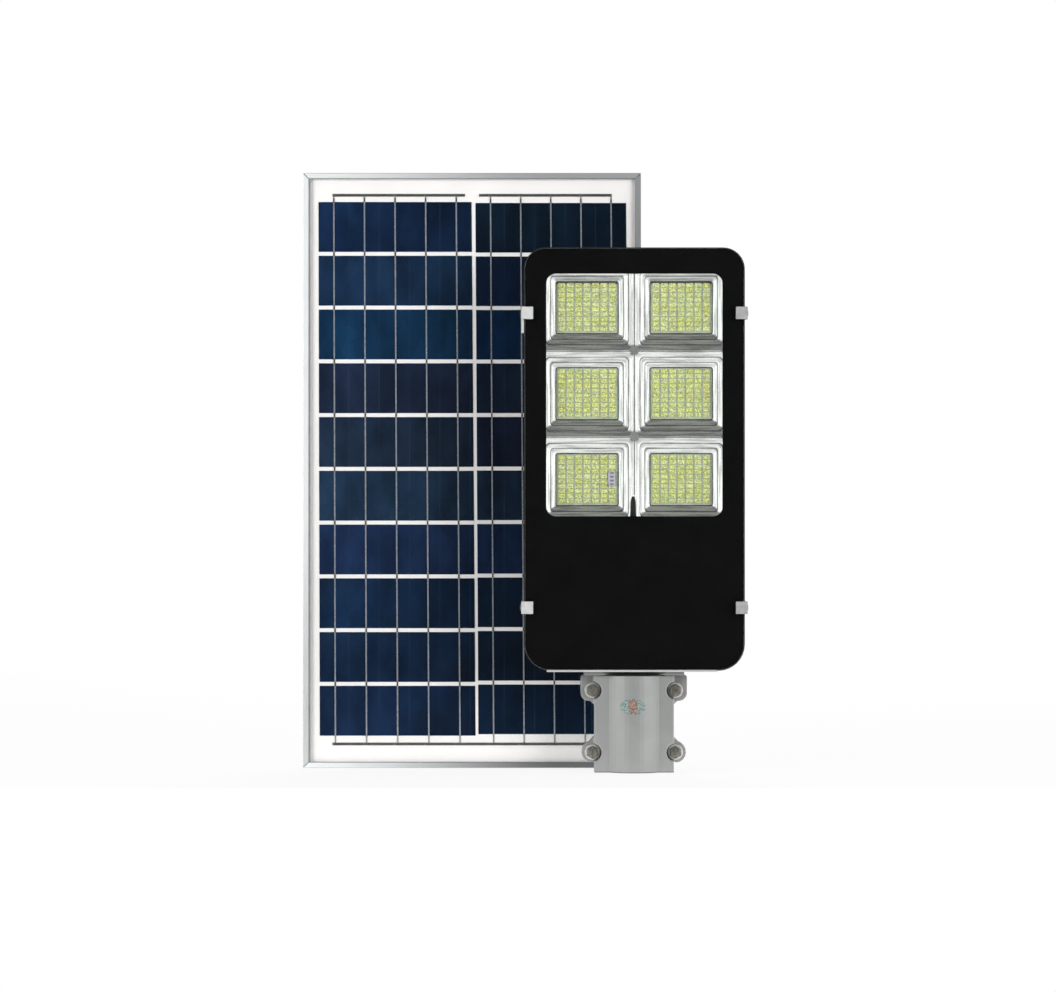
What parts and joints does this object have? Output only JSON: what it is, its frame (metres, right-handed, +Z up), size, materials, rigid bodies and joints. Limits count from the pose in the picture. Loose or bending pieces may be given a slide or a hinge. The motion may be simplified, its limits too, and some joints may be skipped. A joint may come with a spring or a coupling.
{
  "type": "solar street lamp",
  "caption": "Split solar street lamp: a framed solar panel on a folding tilt bracket, and a flat LED lamp head with stepped reflector wells and a bolted arm clamp.",
  "frame": {"origin": "middle of the underside of the panel's bottom frame rail, on the surface that the set stands on", "axes": "+Z up along the panel's height, +X to the right seen from the front, +Y towards the back; the panel and the lamp's light side face -Y"},
  "size_m": [0.4571, 0.2972, 0.616],
  "materials": {
    "frame": "satin anodised",
    "panel_glass": "clear, low reflection",
    "backsheet": "white film",
    "cells": "dark blue polycrystalline silicon",
    "ribbon": "tinned copper",
    "black_plastic": "fine texture",
    "terminal": "moulded",
    "zinc_steel": "zinc plated",
    "rubber": "matte",
    "grey_casting": "powder coated casting",
    "lamp_glass": "clear, polished",
    "black_print": "black print behind glass",
    "silver_plate": "metallised plastic",
    "led_board": "grey-green circuit board",
    "led_phosphor": "yellow-green phosphor",
    "lilac_plastic": "moulded",
    "shrink_wrap": "blue heat-shrink film",
    "circuit": "green circuit board",
    "clip_metal": "bright cast",
    "bolt_steel": "stainless steel"
  },
  "bodies": {
    "panel": {"backsheet": "backsheet", "bus_ribbon_bottom": "ribbon", "bus_ribbon_top_left": "ribbon", "bus_ribbon_top_right": "ribbon", "cell_string_left": "cells", "cell_string_right": "cells", "corner_key_1": "zinc_steel", "corner_key_2": "zinc_steel", "corner_key_3": "zinc_steel", "corner_key_4": "zinc_steel", "cross_rail_lower": "frame", "cross_rail_upper": "frame", "frame_bottom": "frame", "frame_left": "frame", "frame_right": "frame", "frame_top": "frame", "hinge_ear_left": "zinc_steel", "hinge_ear_right": "zinc_steel", "junction_box": "black_plastic", "junction_box_lid": "black_plastic", "panel_cable_gland": "black_plastic", "panel_glass": "panel_glass", "pivot_bolt_left": "bolt_steel", "pivot_bolt_right": "bolt_steel", "terminal_block": "terminal"},
    "tilt_bracket": {"bracket_foot_plate": "zinc_steel", "bracket_leg_left": "zinc_steel", "bracket_leg_right": "zinc_steel", "foot_pad_left": "rubber", "foot_pad_right": "rubber"},
    "lamp": {"arm_saddle": "grey_casting", "battery_pack": "shrink_wrap", "controller_board": "circuit", "glass_black_print": "black_print", "glass_gasket": "rubber", "ir_receiver": "black_plastic", "lamp_cable_gland": "black_plastic", "lamp_glass": "lamp_glass", "lamp_housing": "grey_casting", "led_board_1": "led_board", "led_board_2": "led_board", "led_board_3": "led_board", "led_board_4": "led_board", "led_board_5": "led_board", "led_board_6": "led_board", "reflector": "silver_plate", "wire_terminal": "lilac_plastic"},
    "clamp_cap": {"clamp_bolt_1": "bolt_steel", "clamp_bolt_2": "bolt_steel", "clamp_bolt_3": "bolt_steel", "clamp_bolt_4": "bolt_steel", "clamp_cap": "grey_casting"},
    "glass_clip_1": {"glass_clip_1": "clip_metal", "clip_screw_1": "bolt_steel"},
    "glass_clip_2": {"glass_clip_2": "clip_metal", "clip_screw_2": "bolt_steel"},
    "glass_clip_3": {"glass_clip_3": "clip_metal", "clip_screw_3": "bolt_steel"},
    "glass_clip_4": {"glass_clip_4": "clip_metal", "clip_screw_4": "bolt_steel"}
  },
  "joints": [
    {"name": "tilt_bracket_hinge", "type": "hinge", "parent": "panel", "child": "tilt_bracket", "pos_m": [0, 0.031, 0.262], "axis": [1, 0, 0], "range_deg": [-25, 135]},
    {"name": "lamp_lift", "type": "slide", "parent": "panel", "child": "lamp", "axis": [0, 0, 1], "range_m": [0, 0.64]},
    {"name": "clamp_cap_open", "type": "slide", "parent": "lamp", "child": "clamp_cap", "axis": [0, -1, 0], "range_m": [0, 0.008]},
    {"name": "glass_clip_1_off", "type": "slide", "parent": "lamp", "child": "glass_clip_1", "axis": [-1, 0, 0], "range_m": [0, 0.011]},
    {"name": "glass_clip_2_off", "type": "slide", "parent": "lamp", "child": "glass_clip_2", "axis": [1, 0, 0], "range_m": [0, 0.011]},
    {"name": "glass_clip_3_off", "type": "slide", "parent": "lamp", "child": "glass_clip_3", "axis": [-1, 0, 0], "range_m": [0, 0.011]},
    {"name": "glass_clip_4_off", "type": "slide", "parent": "lamp", "child": "glass_clip_4", "axis": [1, 0, 0], "range_m": [0, 0.011]}
  ]
}
